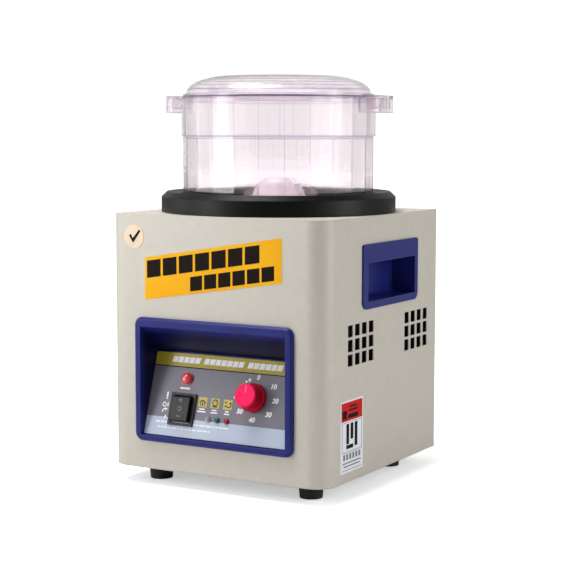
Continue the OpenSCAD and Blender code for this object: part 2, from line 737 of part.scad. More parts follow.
module board_posts() {
  color("#c2c6cb")
    for (x = [-44, 44])
      for (y = [58, 96])
        translate([x, y, 0]) {
          translate([0, 0, zb + 1.75]) cylinder(h = 12, r = 3, $fn = 6);
          translate([0, 0, zb + 15.4]) pan_head(2.8, 1.8, 1.5, 8);
          translate([0, 0, zb + 0.1]) rotate([180, 0, 0]) pan_head(2.8, 1.6, 1.5, 8);
        }
}

module run_capacitor() {
  color("#d9dadc") translate([85, -30, zb + 20]) rotate([-90, 0, 0]) {
    cylinder(h = 60, r = 16);
    for (x = [-5, 5])
      translate([x - 0.4, -3, -7]) cube([0.8, 6, 7.1]);
  }
}

module capacitor_strap() {
  color("#b9bcc0") difference() {
    union() {
      translate([85, -20, zb + 20]) rotate([-90, 0, 0]) difference() {
        cylinder(h = 40, r = 17.8);
        translate([0, 0, -1]) cylinder(h = 50, r = 16.3);
        translate([-30, 3, -1]) cube([60, 60, 60]);
      }
      for (s = [-1, 1])
        translate([85 + s * 17.05 - 0.75, -20, zb + 1.75]) cube([1.5, 40, 15.4]);
      translate([67.2, -20, zb + 1.75]) cube([35.6, 40, 1.5]);
    }
    for (y = [-12, 12])
      translate([85, y, 0]) cylinder(h = 24, r = 1.6, $fn = 24);
  }
}

module inlet_body() {
  color("#17171a") translate([inlet_x, hy, inlet_z]) difference() {
    union() {
      plate_xz(-25, 25, -12.5, 12.5, 0, 3, 5);
      translate([-14, -18, -10]) cube([28, 18.1, 20]);
    }
    translate([-12.4, -13, -8.2]) cube([24.8, 20, 16.4]);
    for (s = [-1, 1])
      translate([s * 20, -1, 0]) rotate([-90, 0, 0]) cylinder(h = 8, r = 1.7, $fn = 24);
    for (p = [[-7, -3], [7, -3], [0, 3]])
      translate([p[0] - 1.05, -20, p[1] - 2.05]) cube([2.1, 10, 4.1]);
  }
}

module inlet_pins() {
  color("#c9a94a") translate([inlet_x, hy, inlet_z])
    for (p = [[-7, -3], [7, -3], [0, 3]])
      translate([p[0] - 1, -24, p[1] - 2]) cube([2, 20, 4]);
}

module inlet_screws() {
  color("#c9ccd0")
    for (s = [-1, 1])
      translate([inlet_x + s * 20, hy + 3, inlet_z]) rotate([-90, 0, 0]) pan_head(2.8, 1.8, 1.4, 8);
}

module fuse_holder() {
  color("#17171a") translate([fuse_x, hy, fuse_z]) rotate([-90, 0, 0]) difference() {
    union() {
      translate([0, 0, -34]) cylinder(h = 35, r = 6.3, $fn = 48);
      cylinder(h = 1.6, r = 9, $fn = 48);
      translate([0, 0, -5]) cylinder(h = 3, r = 9, $fn = 6);
      translate([-2, -0.5, -41]) cube([4, 1, 8]);
    }
    translate([0, 0, -31]) cylinder(h = 60, r = 5.3, $fn = 48);
  }
}

module fuse_cap() {
  color("#222226") translate([fuse_x, hy, fuse_z]) rotate([-90, 0, 0]) difference() {
    union() {
      translate([0, 0, -26]) cylinder(h = 27.7, r = 5, $fn = 48);
      translate([0, 0, 1.65]) cylinder(h = 4.2, r = 7.4, $fn = 48);
    }
    translate([-4.6, -0.6, 4.6]) cube([9.2, 1.2, 4]);
    for (a = [0:30:330])
      rotate(a) translate([7.6, 0, 1]) cylinder(h = 8, r = 0.6, $fn = 16);
  }
}

module front_label() {
  color("#f0a81c") translate([0, -hy - 0.02, zb]) rotate([90, 0, 0]) linear_extrude(0.25)
    polygon([[-76.9, 163.6], [74.3, 186.8], [74.3, 228.2], [-76.2, 204.2]]);
}

module round_label() {
  color("#f2dcc0") translate([-89, -hy - 0.02, zb + 223.8]) rotate([90, 0, 0]) cylinder(h = 0.25, r = 11.4);
}

module side_label() {
  color("#eceef0") translate([hx + 0.02, 0, 0])
    plate_yz(-90.6, -45.8, zb + 9.2, zb + 77, 0, 0.25, 1.5, 1.5);
}

body_shell();
back_panel();
base_plate();
feet();
foot_screws();
base_screws();
back_screws();
seat_ring();
seat_screws();
seat_pad();
bowl();
lid();
panel_frame();
panel_plate();
frame_clips();
lamp_lens();
lamp_collar();
rocker_frame();
rocker();
rocker_body();
knob();
knob_mark();
timer_shaft();
timer_body();
timer_nut();
led_clear();
led_green();
led_red();
icon_tiles();
handle_left();
handle_right();
motor_can();
motor_caps();
motor_bolts();
stator();
windings();
bearings();
motor_plate();
plate_posts();
post_screws();
motor_shaft();
rotor_core();
cooling_fan();
magnet_hub();
hub_screws();
magnet_disc();
magnets();
control_board();
board_parts();
board_posts();
run_capacitor();
capacitor_strap();
inlet_body();
inlet_pins();
inlet_screws();
fuse_holder();
fuse_cap();
front_label();
round_label();
side_label();
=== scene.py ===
import math
import random
import bpy
from mathutils import Matrix, Vector


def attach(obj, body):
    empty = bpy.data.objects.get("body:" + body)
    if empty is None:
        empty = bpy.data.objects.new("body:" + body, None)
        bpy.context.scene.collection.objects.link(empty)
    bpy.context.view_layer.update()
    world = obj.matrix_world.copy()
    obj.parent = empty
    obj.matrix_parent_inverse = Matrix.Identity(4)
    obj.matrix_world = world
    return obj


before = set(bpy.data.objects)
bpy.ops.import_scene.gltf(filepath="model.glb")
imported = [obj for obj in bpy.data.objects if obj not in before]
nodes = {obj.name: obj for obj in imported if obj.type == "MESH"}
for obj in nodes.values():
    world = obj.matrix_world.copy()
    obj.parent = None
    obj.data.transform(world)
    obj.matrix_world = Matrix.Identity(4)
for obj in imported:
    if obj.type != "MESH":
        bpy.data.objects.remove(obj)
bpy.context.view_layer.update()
random.seed(7)
MM = 0.001

# The sloped panel: its origin, the way up it and the way out of it.
TILT = math.radians(17.8)
PANEL_AT = Vector((0, -118.6, 51.4))
PANEL_UP = Vector((0, math.sin(TILT), math.cos(TILT)))
PANEL_OUT = Vector((0, -math.cos(TILT), math.sin(TILT)))

# ---------------------------------------------------------------- materials


def srgb(r, g, b):
    """8-bit display colour as linear RGBA."""
    return tuple(((c / 255 + 0.055) / 1.055) ** 2.4 if c > 10 else c / 3295 for c in (r, g, b)) + (1.0,)


class Nodes:
    """One material's node tree, with short ways to add what every finish here needs."""

    def __init__(self, name):
        self.mat = bpy.data.materials.new(name)
        self.mat.use_nodes = True
        self.tree = self.mat.node_tree
        self.bsdf = self.tree.nodes["Principled BSDF"]
        self.out = self.tree.nodes["Material Output"]
        self.where = self.add("ShaderNodeTexCoord").outputs["Object"]

    def add(self, kind, **values):
        n = self.tree.nodes.new(kind)
        for key, value in values.items():
            setattr(n, key, value)
        return n

    def link(self, a, b):
        self.tree.links.new(a, b)

    def noise(self, scale, detail=3.0, roughness=0.55, stretch=None):
        n = self.add("ShaderNodeTexNoise")
        n.inputs["Scale"].default_value = scale
        n.inputs["Detail"].default_value = detail
        n.inputs["Roughness"].default_value = roughness
        if stretch:
            m = self.add("ShaderNodeMapping")
            m.inputs["Scale"].default_value = stretch
            self.link(self.where, m.inputs["Vector"])
            self.link(m.outputs["Vector"], n.inputs["Vector"])
        else:
            self.link(self.where, n.inputs["Vector"])
        return n.outputs["Fac"]

    def span(self, value, low, high, start=0.3, end=0.7):
        n = self.add("ShaderNodeMapRange")
        n.inputs["From Min"].default_value = start
        n.inputs["From Max"].default_value = end
        n.inputs["To Min"].default_value = low
        n.inputs["To Max"].default_value = high
        self.link(value, n.inputs["Value"])
        return n.outputs["Result"]

    def mix(self, value, a, b):
        n = self.add("ShaderNodeMix", data_type="RGBA")
        self.link(value, n.inputs["Factor"])
        for i, c in ((6, a), (7, b)):
            if isinstance(c, tuple):
                n.inputs[i].default_value = c
            else:
                self.link(c, n.inputs[i])
        return n.outputs[2]

    def bump(self, height, strength, distance, soft=None):
        n = self.add("ShaderNodeBump")
        n.inputs["Strength"].default_value = strength
        n.inputs["Distance"].default_value = distance
        self.link(height, n.inputs["Height"])
        if soft:
            b = self.add("ShaderNodeBevel", samples=6)
            b.inputs["Radius"].default_value = soft
            self.link(b.outputs["Normal"], n.inputs["Normal"])
        self.link(n.outputs["Normal"], self.bsdf.inputs["Normal"])


def finish(name, light, dark, rough, scale=60, metal=0.0, grain=400, bump=0.1, depth=0.0002,
           coat=0.0, soft=None, spec=0.5, stretch=None):
    """A surface of two near colours, with rough = (low, high) roughness and a fine relief."""
    m = Nodes(name)
    big = m.noise(scale, stretch=stretch)
    m.link(m.mix(m.span(big, 0, 1), light, dark), m.bsdf.inputs["Base Color"])
    fine = m.noise(grain, 2.0, stretch=stretch)
    m.link(m.span(fine, rough[0], rough[1]), m.bsdf.inputs["Roughness"])
    m.bump(fine, bump, depth, soft)
    m.bsdf.inputs["Metallic"].default_value = metal
    m.bsdf.inputs["Coat Weight"].default_value = coat
    m.bsdf.inputs["Coat Roughness"].default_value = 0.12
    m.bsdf.inputs["Specular IOR Level"].default_value = spec
    return m.mat


def clear(name, tint, rough, ior, soft, thin, edge=None, milky=None):
    """Clear plastic that lets lamps through. thin is the share seen without refraction, edge is a
    (low, high) height band that is drawn darker, and milky is the radius inside which the
    cone on the axis looks whitish."""
    m = Nodes(name)
    colour = m.mix(m.span(m.noise(14, 2.0), 0, 1), tint, tuple(c * 0.985 for c in tint[:3]) + (1,))
    thinned = tuple(c ** 0.5 for c in tint[:3]) + (1,)
    if edge:
        z = m.add("ShaderNodeSeparateXYZ")
        m.link(m.where, z.inputs[0])
        band = m.add("ShaderNodeMath", operation="COMPARE")
        band.inputs[1].default_value = (edge[0] + edge[1]) / 2
        band.inputs[2].default_value = (edge[1] - edge[0]) / 2
        m.link(z.outputs["Z"], band.inputs[0])
        colour = m.mix(band.outputs[0], colour, RIM_TINT)
        thinned = m.mix(band.outputs[0], thinned, RIM_TINT)
    # Painted shade on edges: fine darker lines where the rounded normal leaves the flat one, in place of
    # the lines that light bent at the facet edges draws.
    true = m.add("ShaderNodeNewGeometry").outputs["Normal"]
    round_off = m.add("ShaderNodeBevel", samples=8)
    round_off.inputs["Radius"].default_value = EDGE_WIDTH
    turn = m.add("ShaderNodeVectorMath", operation="DOT_PRODUCT")
    m.link(true, turn.inputs[0])
    m.link(round_off.outputs["Normal"], turn.inputs[1])
    line = m.span(turn.outputs["Value"], 0, 1, 0.9985, 0.9935)
    colour = m.mix(line, colour, EDGE_SHADE_TINT)
    thinned = m.mix(line, thinned, EDGE_SHADE_TINT)
    m.link(colour, m.bsdf.inputs["Base Color"])
    m.bsdf.inputs["Transmission Weight"].default_value = 1.0
    m.bsdf.inputs["IOR"].default_value = ior
    fine = m.noise(25, 2.0)
    m.link(m.span(fine, rough * 0.5, rough), m.bsdf.inputs["Roughness"])
    m.bump(fine, 0.05, 0.0004, soft)
    through = m.add("ShaderNodeBsdfTransparent")
    m.link(thinned, through.inputs["Color"])
    blend = m.add("ShaderNodeMixShader")
    blend.inputs["Fac"].default_value = thin
    m.link(m.bsdf.outputs["BSDF"], blend.inputs[1])
    m.link(through.outputs["BSDF"], blend.inputs[2])
    surface = blend.outputs["Shader"]
    if milky:
        flat = m.add("ShaderNodeVectorMath", operation="MULTIPLY_ADD")
        flat.inputs[1].default_value = (1, 1, 0)
        flat.inputs[2].default_value = (0, -BOWL_AXIS_Y, 0)
        m.link(m.where, flat.inputs[0])
        reach = m.add("ShaderNodeVectorMath", operation="LENGTH")
        m.link(flat.outputs["Vector"], reach.inputs[0])
        white = m.add("ShaderNodeBsdfDiffuse")
        white.inputs["Color"].default_value = (0.92, 0.84, 0.88, 1)
        milk = m.add("ShaderNodeMixShader")
        m.link(m.span(reach.outputs["Value"], MILK_SHARE, 0, milky - 0.002, milky), milk.inputs["Fac"])
        m.link(surface, milk.inputs[1])
        m.link(white.outputs["BSDF"], milk.inputs[2])
        surface = milk.outputs["Shader"]
    lamps = m.add("ShaderNodeMixShader")
    m.link(m.add("ShaderNodeLightPath").outputs["Is Shadow Ray"], lamps.inputs["Fac"])
    m.link(surface, lamps.inputs[1])
    m.link(through.outputs["BSDF"], lamps.inputs[2])
    surface = lamps.outputs["Shader"]
    m.link(surface, m.out.inputs["Surface"])
    return m.mat


PAINT = finish("cabinet_paint", srgb(208, 202, 190), srgb(204, 198, 186), (0.38, 0.5), 110, bump=0.25,
               grain=900, depth=0.0003, soft=0.0016)


def paint_shade_inside(material):
    """Painted shade: the inside of the cabinet sheet is coloured near black, so the vents read dark."""
    t = material.node_tree

    def vector(op, a, value):
        n = t.nodes.new("ShaderNodeVectorMath")
        n.operation = op
        t.links.new(a, n.inputs[0])
        if value:
            n.inputs[1].default_value = value
        return n.outputs["Value" if op == "LENGTH" else "Vector"]

    def below(a, limit):
        n = t.nodes.new("ShaderNodeMath")
        n.operation = "LESS_THAN"
        n.inputs[1].default_value = limit
        t.links.new(a, n.inputs[0])
        return n.outputs[0]

    at = t.nodes["Texture Coordinate"].outputs["Object"]
    xyz = t.nodes.new("ShaderNodeSeparateXYZ")
    t.links.new(at, xyz.inputs[0])
    flat = vector("MULTIPLY", vector("ABSOLUTE", at, None), (1, 1, 0))
    past = vector("MAXIMUM", vector("SUBTRACT", flat, (0.1, 0.099, 0)), (0.0001, 0.0001, 0))
    both = t.nodes.new("ShaderNodeMath")
    both.operation = "MULTIPLY"
    t.links.new(below(vector("LENGTH", past, None), 0.0192), both.inputs[0])
    t.links.new(below(xyz.outputs["Z"], 0.2612), both.inputs[1])
    base = t.nodes["Principled BSDF"].inputs["Base Color"]
    painted = base.links[0].from_socket
    mix = t.nodes.new("ShaderNodeMix")
    mix.data_type = "RGBA"
    t.links.new(both.outputs[0], mix.inputs["Factor"])
    t.links.new(painted, mix.inputs[6])
    # Near-black painted shade for the inside of the cabinet.
    mix.inputs[7].default_value = (0.012, 0.012, 0.013, 1)
    t.links.new(mix.outputs[2], base)


# Painted shade inside the cabinet.
paint_shade_inside(PAINT)
ZINC = finish("zinc_sheet", srgb(176, 178, 180), srgb(150, 152, 156), (0.3, 0.5), 40, metal=0.9)
RUBBER = finish("foot_rubber", srgb(30, 30, 31), srgb(22, 22, 23), (0.6, 0.8), 120, bump=0.3)
SCREW = finish("zinc_screw", srgb(196, 198, 200), srgb(160, 162, 166), (0.22, 0.4), 300, metal=1.0)
RING = finish("black_ring", srgb(13, 12, 14), srgb(10, 10, 11), (0.36, 0.44), 60, grain=1200,
              bump=0.08, soft=0.0014, spec=0.16)
PAD = finish("pad_rubber", srgb(150, 148, 152), srgb(138, 136, 140), (0.6, 0.75), 150, bump=0.3)
BLUE = finish("blue_frame", srgb(34, 41, 122), srgb(29, 35, 112), (0.28, 0.34), 30, grain=700,
              bump=0.02, soft=0.0013, spec=0.3)
FRAME = finish("panel_blue", srgb(33, 40, 120), srgb(28, 34, 110), (0.3, 0.38), 30, grain=700,
               bump=0.02, soft=0.0012, spec=0.22)


def painted_shade_along(material, direction, start, end, shade_colour):
    """Painted shade: the colour turns to a darker shade colour between two distances, in metres, along a
    direction.
    """
    t = material.node_tree
    along = t.nodes.new("ShaderNodeVectorMath")
    along.operation = "DOT_PRODUCT"
    along.inputs[1].default_value = direction
    t.links.new(t.nodes["Texture Coordinate"].outputs["Object"], along.inputs[0])
    turn = t.nodes.new("ShaderNodeMapRange")
    turn.inputs["From Min"].default_value = start
    turn.inputs["From Max"].default_value = end
    t.links.new(along.outputs["Value"], turn.inputs["Value"])
    base = t.nodes["Principled BSDF"].inputs["Base Color"]
    lit = base.links[0].from_socket
    mix = t.nodes.new("ShaderNodeMix")
    mix.data_type = "RGBA"
    t.links.new(turn.outputs["Result"], mix.inputs["Factor"])
    t.links.new(lit, mix.inputs[6])
    mix.inputs[7].default_value = shade_colour
    t.links.new(mix.outputs[2], base)


# Painted shade: the frame's blue turns to dark navy going back into the panel recess.
painted_shade_along(FRAME, (0, 1, 0), -0.1214, -0.114, srgb(9, 14, 60))
BLACK = finish("black_switch", srgb(30, 30, 32), srgb(23, 23, 25), (0.36, 0.48), 200, grain=2500,
               bump=0.2, soft=0.0006, spec=0.25)
ROCKER = finish("rocker_black", srgb(26, 26, 28), srgb(20, 20, 22), (0.36, 0.46), 200, grain=2500,
                bump=0.15, soft=0.0009, spec=0.25)
CRIMSON = finish("crimson_knob", srgb(255, 18, 100), srgb(250, 12, 86), (0.4, 0.5), 150, grain=900,
                 bump=0.05, soft=0.0007, spec=0.12)
# The knob's side is painted a deeper red as painted shade, below its pink face. Both distances are out from
# the panel.
KNOB_SIDE, KNOB_FACE = 0.0145, 0.0172
into = PANEL_AT.dot(PANEL_OUT) * MM
# Painted shade on the knob's side.
painted_shade_along(CRIMSON, tuple(-PANEL_OUT), -(into + KNOB_FACE), -(into + KNOB_SIDE), srgb(196, 6, 44))
MARK = finish("pale_mark", srgb(250, 96, 138), srgb(244, 84, 128), (0.4, 0.5), 300)
STEEL = finish("turned_steel", srgb(190, 192, 196), srgb(160, 162, 168), (0.18, 0.35), 80, metal=1.0)
RED_LENS = finish("red_lens", srgb(240, 84, 92), srgb(226, 66, 76), (0.12, 0.2), 220, coat=0.6)
RED_COLLAR = finish("red_collar", srgb(176, 30, 36), srgb(160, 24, 30), (0.25, 0.35), 220)
LED_CLEAR = finish("clear_led", srgb(186, 188, 192), srgb(150, 152, 158), (0.08, 0.15), 500, coat=0.6)
LED_GREEN = finish("green_led", srgb(16, 112, 74), srgb(10, 88, 56), (0.1, 0.18), 500, coat=0.6)
LED_RED = finish("red_led", srgb(182, 24, 44), srgb(150, 14, 32), (0.1, 0.18), 500, coat=0.6)
TILE = finish("tile_print", srgb(196, 180, 84), srgb(184, 168, 70), (0.4, 0.5), 400)
MOTOR = finish("motor_paint", srgb(92, 98, 104), srgb(78, 84, 90), (0.4, 0.55), 60)
ALLOY = finish("cast_alloy", srgb(178, 180, 184), srgb(150, 152, 158), (0.35, 0.55), 90, metal=0.9,
               bump=0.3)
LAMINATE = finish("laminations", srgb(88, 90, 94), srgb(62, 64, 68), (0.4, 0.6), 30, metal=0.7,
                  stretch=(1, 1, 30))
COPPER = finish("copper_wire", srgb(184, 104, 52), srgb(140, 70, 32), (0.25, 0.4), 60, metal=0.9,
                stretch=(1, 1, 12))
NICKEL = finish("magnet_nickel", srgb(190, 190, 192), srgb(170, 170, 174), (0.12, 0.25), 200, metal=1.0)
BOARD = finish("board_green", srgb(34, 112, 62), srgb(26, 92, 50), (0.3, 0.45), 300)
PARTS = finish("board_dark", srgb(58, 62, 72), srgb(36, 40, 48), (0.35, 0.5), 150)
SLEEVE = finish("capacitor_white", srgb(220, 220, 222), srgb(206, 206, 208), (0.3, 0.4), 90)
BRASS = finish("brass_pin", srgb(206, 176, 96), srgb(184, 152, 74), (0.2, 0.35), 300, metal=1.0)
YELLOW = finish("label_yellow", srgb(255, 192, 18), srgb(254, 178, 6), (0.4, 0.5), 22, grain=300, bump=0.03,
                spec=0.1)
CREAM = finish("label_cream", srgb(240, 214, 182), srgb(234, 206, 172), (0.35, 0.45), 60)
WHITE = finish("label_white", srgb(246, 248, 252), srgb(240, 242, 248), (0.36, 0.46), 60, spec=0.2)
INK = finish("dark_ink", srgb(28, 18, 12), srgb(20, 12, 10), (0.45, 0.55), 200, spec=0.06)
RED_INK = finish("red_ink", srgb(216, 20, 18), srgb(202, 12, 14), (0.36, 0.46), 200, spec=0.1)
GREY_INK = finish("grey_ink", srgb(120, 122, 126), srgb(100, 102, 106), (0.35, 0.45), 200)
WHITE_INK = finish("white_ink", srgb(240, 240, 242), srgb(228, 228, 232), (0.35, 0.45), 200)
BAND = finish("band_print", srgb(186, 166, 52), srgb(168, 150, 40), (0.36, 0.46), 30, grain=600, spec=0.25)
FIELD = finish("field_print", srgb(122, 120, 132), srgb(110, 108, 120), (0.36, 0.46), 12, grain=1500,
               bump=0.06, spec=0.3)
SILVER = finish("silver_print", srgb(186, 198, 216), srgb(172, 184, 204), (0.34, 0.44), 12, grain=900,
                bump=0.06, spec=0.3)
RIM_TINT = (0.09, 0.05, 0.11, 1)
# Darker lilac for the painted shade lines on the clear plastic's edges.
EDGE_SHADE_TINT = (0.57, 0.5, 0.62, 1)
EDGE_WIDTH = 0.0012
MILK_SHARE = 0.2
BOWL_AXIS_Y = 0.003
BOWL = clear("clear_bowl", (0.93, 0.885, 0.905, 1), 0.04, 1.42, 0.0005, 0.35, milky=0.046)
LID = clear("clear_lid", (0.95, 0.905, 0.935, 1), 0.04, 1.42, 0.0006, 0.35, (0.3736, 0.3753))

LOOK = {
    "cabinet": (PAINT, "body_shell back_panel"),
    "zinc": (ZINC, "base_plate frame_clips motor_plate capacitor_strap"),
    "rubber": (RUBBER, "feet"),
    "screws": (SCREW, "foot_screws base_screws back_screws seat_screws timer_nut motor_bolts post_screws "
                      "inlet_screws"),
    "ring": (RING, "seat_ring"),
    "pad": (PAD, "seat_pad"),
    "bowl": (BOWL, "bowl"),
    "lid": (LID, "lid"),
    "blue": (BLUE, "handle_left handle_right"),
    "frame": (FRAME, "panel_frame"),
    "field": (FIELD, "panel_plate"),
    "lens": (RED_LENS, "lamp_lens"),
    "collar": (RED_COLLAR, "lamp_collar"),
    "black": (BLACK, "rocker_frame rocker_body inlet_body fuse_holder fuse_cap cooling_fan"),
    "rocker": (ROCKER, "rocker"),
    "knob": (CRIMSON, "knob"),
    "mark": (MARK, "knob_mark"),
    "steel": (STEEL, "timer_shaft bearings plate_posts motor_shaft hub_screws board_posts"),
    "alloy": (ALLOY, "timer_body motor_caps magnet_hub magnet_disc"),
    "led_clear": (LED_CLEAR, "led_clear"),
    "led_green": (LED_GREEN, "led_green"),
    "led_red": (LED_RED, "led_red"),
    "tile": (TILE, "icon_tiles"),
    "motor": (MOTOR, "motor_can"),
    "laminate": (LAMINATE, "stator rotor_core"),
    "copper": (COPPER, "windings"),
    "nickel": (NICKEL, "magnets"),
    "board": (BOARD, "control_board"),
    "parts": (PARTS, "board_parts"),
    "sleeve": (SLEEVE, "run_capacitor"),
    "brass": (BRASS, "inlet_pins"),
    "yellow": (YELLOW, "front_label"),
    "cream": (CREAM, "round_label"),
    "white": (WHITE, "side_label"),
}
for material, names in LOOK.values():
    for name in names.split():
        o = nodes[name]
        o.data.materials.clear()
        o.data.materials.append(material)

# ---------------------------------------------------------------- printed marks

RIGHT = Vector((1, 0, 0))


def on_panel(x, v, n=0.0):
    return PANEL_AT + RIGHT * x + PANEL_UP * v + PANEL_OUT * n


# Just outside the painted sheet, in mm.
FRONT_FACE = -119.02
RIGHT_FACE = 120.02


def on_front(x, z, n=0.0):
    return Vector((x, FRONT_FACE - n, z))


def on_side(y, z, n=0.0):
    return Vector((RIGHT_FACE + n, y, z))


def printed(name, place, shapes, material, lift, body="housing", thick=0.06):
    """Flat ink: closed outlines in the local plane, raised by lift mm and thick mm thick."""
    verts, faces = [], []
    for pts in shapes:
        k = len(verts)
        n = len(pts)
        area = sum(pts[i][0] * pts[(i + 1) % n][1] - pts[(i + 1) % n][0] * pts[i][1] for i in range(n))
        if area < 0:
            pts = pts[::-1]
        verts += [place(a, b, lift) * MM for a, b in pts]
        verts += [place(a, b, lift + thick) * MM for a, b in pts]
        faces.append(tuple(range(k + n - 1, k - 1, -1)))
        faces.append(tuple(range(k + n, k + 2 * n)))
        for i in range(n):
            j = (i + 1) % n
            faces.append((k + i, k + j, k + n + j, k + n + i))
    mesh = bpy.data.meshes.new(name)
    mesh.from_pydata(verts, [], faces)
    mesh.update()
    o = bpy.data.objects.new(name, mesh)
    bpy.context.scene.collection.objects.link(o)
    mesh.materials.append(material)
    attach(o, body)


def rect(x, y, w, h):
    return [(x - w / 2, y - h / 2), (x + w / 2, y - h / 2), (x + w / 2, y + h / 2), (x - w / 2, y + h / 2)]


def disc(x, y, r, n=24):
    turn = [2 * math.pi * i / n for i in range(n)]
    return [(x + r * math.cos(t), y + r * math.sin(t)) for t in turn]


def arc(x, y, r, w, a, b, n=14):
    """A band of width w along a circle, from angle a to b in degrees."""
    turn = [math.radians(a + (b - a) * i / n) for i in range(n + 1)]
    out = [(x + (r + w / 2) * math.cos(t), y + (r + w / 2) * math.sin(t)) for t in turn]
    back = [(x + (r - w / 2) * math.cos(t), y + (r - w / 2) * math.sin(t)) for t in turn[::-1]]
    return out + back


def skewed(pts, slope, x0=0.0):
    return [(x, y + slope * (x - x0)) for x, y in pts]


NUMERAL_THICK = 0.00003
NUMERAL_BOLD = 0.00026
NUMERAL_LEAN = 0.2


def numeral(name, text, place, x, y, size, material, lift):
    """A number on a dial."""
    curve = bpy.data.curves.new(name, "FONT")
    curve.body = text
    curve.size = size * MM
    curve.align_x = "CENTER"
    curve.align_y = "CENTER"
    curve.extrude = NUMERAL_THICK
    curve.offset = NUMERAL_BOLD
    curve.shear = NUMERAL_LEAN
    o = bpy.data.objects.new(name, curve)
    bpy.context.scene.collection.objects.link(o)
    base = place(x, y, lift)
    ux = (place(x + 1, y, lift) - base).normalized()
    uy = (place(x, y + 1, lift) - base).normalized()
    uz = ux.cross(uy)
    o.matrix_world = Matrix((ux, uy, uz)).transposed().to_4x4()
    o.matrix_world.translation = base * MM
    bpy.context.view_layer.update()
    dg = bpy.context.evaluated_depsgraph_get()
    mesh = bpy.data.meshes.new_from_object(o.evaluated_get(dg))
    solid = bpy.data.objects.new(name, mesh)
    solid.matrix_world = o.matrix_world.copy()
    bpy.context.scene.collection.objects.link(solid)
    bpy.data.objects.remove(o)
    mesh.materials.clear()
    mesh.materials.append(material)
    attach(solid, "housing")


# Panel: olive band on top, silver band below, grey between.
printed("panel_band", on_panel, [rect(0, 73.8, 159, 12.6)], BAND, 0.02)
printed("panel_silver", on_panel, [rect(0, 8.5, 159, 17.6)], SILVER, 0.02)
printed("panel_rule", on_panel, [rect(0, 66.9, 159, 0.9)], INK, 0.02)
# Three groups of equal bars take the title's place.
BAR, BAR_STEP, BAR_GAP, BAR_LEAN = 5.5, 6.4, 4.0, 0.25
bars = []
x = -60.0
for count in (5, 7, 6):
    for _ in range(count):
        bars.append([(px + BAR_LEAN * py, py + 74.0) for px, py in rect(x + BAR / 2, 0, BAR, 5.6)])
        x += BAR_STEP
    x += BAR_GAP
printed("band_bars", on_panel, bars, WHITE_INK, 0.09)
# Fine print on the silver band, as plain dashes.
dashes = []
for row, (left, right) in ((12.6, (-68, 14)), (7.6, (-65, -8))):
    x = left
    while x < right:
        w = random.choice((2.2, 3.4, 4.6, 6.0))
        dashes.append(rect(x + w / 2, row, w, 1.5))
        x += w + 1.3
printed("silver_dashes", on_panel, dashes, WHITE_INK, 0.09)

KNOB = (36.3, 43.7)
NUMERAL_SIZE = 6.4
INK_LIFT = 0.04
NUMBERS = (("0", 4, 19.6), ("10", 57, 22.6), ("20", 92, 23.0), ("30", 128, 22.8), ("40", 177, 20.6),
           ("50", 224, 19.2))


def around_knob(turn, reach):
    """A place at reach from the knob, turn degrees clockwise from the top."""
    a = math.radians(turn)
    return KNOB[0] + reach * math.sin(a), KNOB[1] + reach * math.cos(a)


for text, turn, reach in NUMBERS:
    numeral("dial_" + text, text, on_panel, *around_knob(turn, reach), NUMERAL_SIZE, WHITE_INK, INK_LIFT)
WEDGE_REACH = 18.4
wedge = []
for i, turn in enumerate(range(312, 348, 12)):
    wedge.append(rect(*around_knob(turn, WEDGE_REACH), 1.2 + 0.7 * i, 1.2 + 0.9 * i))
wedge.append(disc(KNOB[0] - 20.6, KNOB[1] - 0.8, 1.4))
printed("dial_wedge", on_panel, wedge, WHITE_INK, INK_LIFT)

captions = [rect(-41, 46.6, 11, 1.8)]
captions += [rect(-59.6, 39.2, 1.6, 5.2), rect(-59.6, 35.4, 1.6, 1.2)]
captions += [arc(-61.4, 29.4, 1.9, 0.9, 0, 360), rect(-57.4, 29.4, 1.2, 3.8)]
captions += [arc(-60.0, 22.6, 2.6, 1.0, 60, 200), [(-60.4, 26.8), (-57.0, 25.4), (-59.6, 23.2)],
             [(-58.4, 19.6), (-60.6, 16.4), (-56.8, 16.8)]]
for i, x in enumerate((-18.6, -4.6, 9.4)):
    captions += [rect(x, 28.4, 6.0 - i, 1.3), rect(x, 26.0, 9.6 - 2 * i, 1.2)]
printed("panel_captions", on_panel, captions, WHITE_INK, INK_LIFT)

# Icons on the three tiles: a fan of rays, a dial, a bowl with spots.
icons = [arc(-18.6, 33.2, 3.4, 0.9, 15, 165), rect(-18.6, 33.6, 0.8, 4.4), rect(-20.6, 33.0, 0.7, 3.0),
         rect(-16.6, 33.0, 0.7, 3.0)]
icons += [arc(-4.6, 35.6, 2.9, 0.8, 0, 360), rect(-4.0, 36.6, 0.7, 2.0), rect(-4.6, 31.8, 5.6, 0.9)]
icons += [rect(7.0, 37.0, 1.6, 1.6), rect(6.8, 33.4, 1.2, 1.2), arc(10.4, 35.0, 2.6, 0.9, 200, 420),
          disc(11.8, 36.4, 0.8, 10)]
printed("icon_ink", on_panel, icons, INK, 0.36)

# Rocker: ring in the middle, a bar above and below.
FACE = 6.12
printed("rocker_ring", on_panel, [arc(-39.9, 26, 1.9, 0.6, 0, 180), arc(-39.9, 26, 1.9, 0.6, 180, 360)],
        GREY_INK, FACE, "rocker_cap")
printed("rocker_bars", on_panel, [rect(-39.9, 33.2, 3.4, 0.7), rect(-39.9, 34.8, 3.4, 0.7),
                                  rect(-39.9, 18.8, 4.4, 0.6)], GREY_INK, FACE + 0.16, "rocker_cap")

